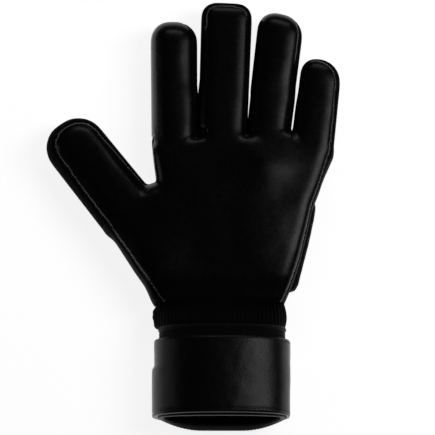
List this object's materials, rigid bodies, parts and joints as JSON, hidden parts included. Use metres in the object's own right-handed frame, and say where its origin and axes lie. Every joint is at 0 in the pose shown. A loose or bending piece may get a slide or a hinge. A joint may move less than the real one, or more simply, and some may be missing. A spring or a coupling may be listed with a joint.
{
  "type": "goalkeeper glove",
  "caption": "Left-hand goalkeeper glove with a smooth latex palm, bending digits, gathered elastic wrist and a peel-open wrap strap.",
  "frame": {"origin": "on the flat underside of the backhand pad, which the glove rests on, at the middle of the cuff's width and near the middle of the hand", "axes": "+Y from the cuff to the fingertips, +X towards the little finger, +Z out of the palm"},
  "size_m": [0.1902, 0.2779, 0.05],
  "materials": {
    "latex": "soft matte foam with a faint sheen",
    "lining": "brushed cotton",
    "mesh": "open knit mesh",
    "side_panel": "coated knit",
    "backhand": "embossed foam",
    "elastic": "gathered ribbed elastic",
    "bandage": "padded neoprene knit",
    "binding": "folded tape",
    "strap": "grained synthetic leather",
    "loop": "loop pile",
    "hook": "hook tape",
    "tab": "moulded rubber"
  },
  "bodies": {
    "hand": {"palm_latex": "latex", "palm_lining": "lining", "backhand_panel": "backhand", "backhand_lining": "lining", "knuckle_pad": "backhand", "backhand_pad": "backhand", "little_side_panel": "side_panel", "thumb_side_panel": "side_panel", "index_side_gusset": "mesh", "finger_webs": "mesh", "elastic_band": "elastic", "thumb_knuckle_fold": "latex", "index_knuckle_fold": "latex", "middle_knuckle_fold": "latex", "ring_knuckle_fold": "latex", "little_knuckle_fold": "latex"},
    "cuff": {"wrist_bandage": "bandage", "top_binding": "binding", "bottom_binding": "binding", "loop_patch": "loop", "strap_wrap": "strap"},
    "strap_end": {"strap_flap": "strap", "hook_patch": "hook", "pull_tab": "tab"},
    "thumb_base": {"thumb_base_latex": "latex", "thumb_base_gussets": "mesh", "thumb_base_back": "backhand", "thumb_mid_fold": "latex"},
    "thumb_tip": {"thumb_tip_latex": "latex", "thumb_tip_gusset": "mesh", "thumb_tip_back": "backhand"},
    "index_base": {"index_base_latex": "latex", "index_base_gussets": "mesh", "index_base_back": "backhand", "index_mid_fold": "latex"},
    "index_tip": {"index_tip_latex": "latex", "index_tip_gusset": "mesh", "index_tip_back": "backhand"},
    "middle_base": {"middle_base_latex": "latex", "middle_base_gussets": "mesh", "middle_base_back": "backhand", "middle_mid_fold": "latex"},
    "middle_tip": {"middle_tip_latex": "latex", "middle_tip_gusset": "mesh", "middle_tip_back": "backhand"},
    "ring_base": {"ring_base_latex": "latex", "ring_base_gussets": "mesh", "ring_base_back": "backhand", "ring_mid_fold": "latex"},
    "ring_tip": {"ring_tip_latex": "latex", "ring_tip_gusset": "mesh", "ring_tip_back": "backhand"},
    "little_base": {"little_base_latex": "latex", "little_base_gussets": "mesh", "little_base_back": "backhand", "little_mid_fold": "latex"},
    "little_tip": {"little_tip_latex": "latex", "little_tip_gusset": "mesh", "little_tip_back": "backhand"}
  },
  "joints": [
    {"name": "thumb_knuckle", "type": "hinge", "parent": "hand", "child": "thumb_base", "pos_m": [-0.0615, 0.0125, 0.025], "axis": [0.7859, 0.6184, 0], "range_deg": [0, 45], "stiffness_Nm_per_rad": 0.06, "deforming": ["thumb_knuckle_fold"]},
    {"name": "thumb_mid", "type": "hinge", "parent": "thumb_base", "child": "thumb_tip", "pos_m": [-0.08314, 0.04, 0.025], "axis": [0.7859, 0.6184, 0], "range_deg": [0, 60], "stiffness_Nm_per_rad": 0.04, "deforming": ["thumb_mid_fold"]},
    {"name": "index_knuckle", "type": "hinge", "parent": "hand", "child": "index_base", "pos_m": [-0.0304, 0.06, 0.025], "axis": [1, 0.007, 0], "range_deg": [0, 60], "stiffness_Nm_per_rad": 0.06, "deforming": ["index_knuckle_fold"]},
    {"name": "index_mid", "type": "hinge", "parent": "index_base", "child": "index_tip", "pos_m": [-0.03067, 0.098, 0.025], "axis": [1, 0.007, 0], "range_deg": [0, 60], "stiffness_Nm_per_rad": 0.04, "deforming": ["index_mid_fold"]},
    {"name": "middle_knuckle", "type": "hinge", "parent": "hand", "child": "middle_base", "pos_m": [0.0009, 0.063, 0.025], "axis": [0.9995, -0.0332, 0], "range_deg": [0, 60], "stiffness_Nm_per_rad": 0.06, "deforming": ["middle_knuckle_fold"]},
    {"name": "middle_mid", "type": "hinge", "parent": "middle_base", "child": "middle_tip", "pos_m": [0.00236, 0.10698, 0.025], "axis": [0.9995, -0.0332, 0], "range_deg": [0, 60], "stiffness_Nm_per_rad": 0.04, "deforming": ["middle_mid_fold"]},
    {"name": "ring_knuckle", "type": "hinge", "parent": "hand", "child": "ring_base", "pos_m": [0.0312, 0.063, 0.025], "axis": [0.9928, -0.1201, 0], "range_deg": [0, 60], "stiffness_Nm_per_rad": 0.06, "deforming": ["ring_knuckle_fold"]},
    {"name": "ring_mid", "type": "hinge", "parent": "ring_base", "child": "ring_tip", "pos_m": [0.03601, 0.10271, 0.025], "axis": [0.9928, -0.1201, 0], "range_deg": [0, 60], "stiffness_Nm_per_rad": 0.04, "deforming": ["ring_mid_fold"]},
    {"name": "little_knuckle", "type": "hinge", "parent": "hand", "child": "little_base", "pos_m": [0.0599, 0.055, 0.025], "axis": [0.994, -0.1097, 0], "range_deg": [0, 60], "stiffness_Nm_per_rad": 0.06, "deforming": ["little_knuckle_fold"]},
    {"name": "little_mid", "type": "hinge", "parent": "little_base", "child": "little_tip", "pos_m": [0.06308, 0.08382, 0.025], "axis": [0.994, -0.1097, 0], "range_deg": [0, 60], "stiffness_Nm_per_rad": 0.04, "deforming": ["little_mid_fold"]},
    {"name": "wrist_flex", "type": "hinge", "parent": "hand", "child": "cuff", "pos_m": [0, -0.0565, 0.0265], "axis": [-1, 0, 0], "range_deg": [-20, 20], "stiffness_Nm_per_rad": 0.6, "deforming": ["elastic_band"]},
    {"name": "strap_peel", "type": "hinge", "parent": "cuff", "child": "strap_end", "pos_m": [-0.022, -0.0995, 0.0024], "axis": [0, 1, 0], "range_deg": [0, 120]}
  ]
}
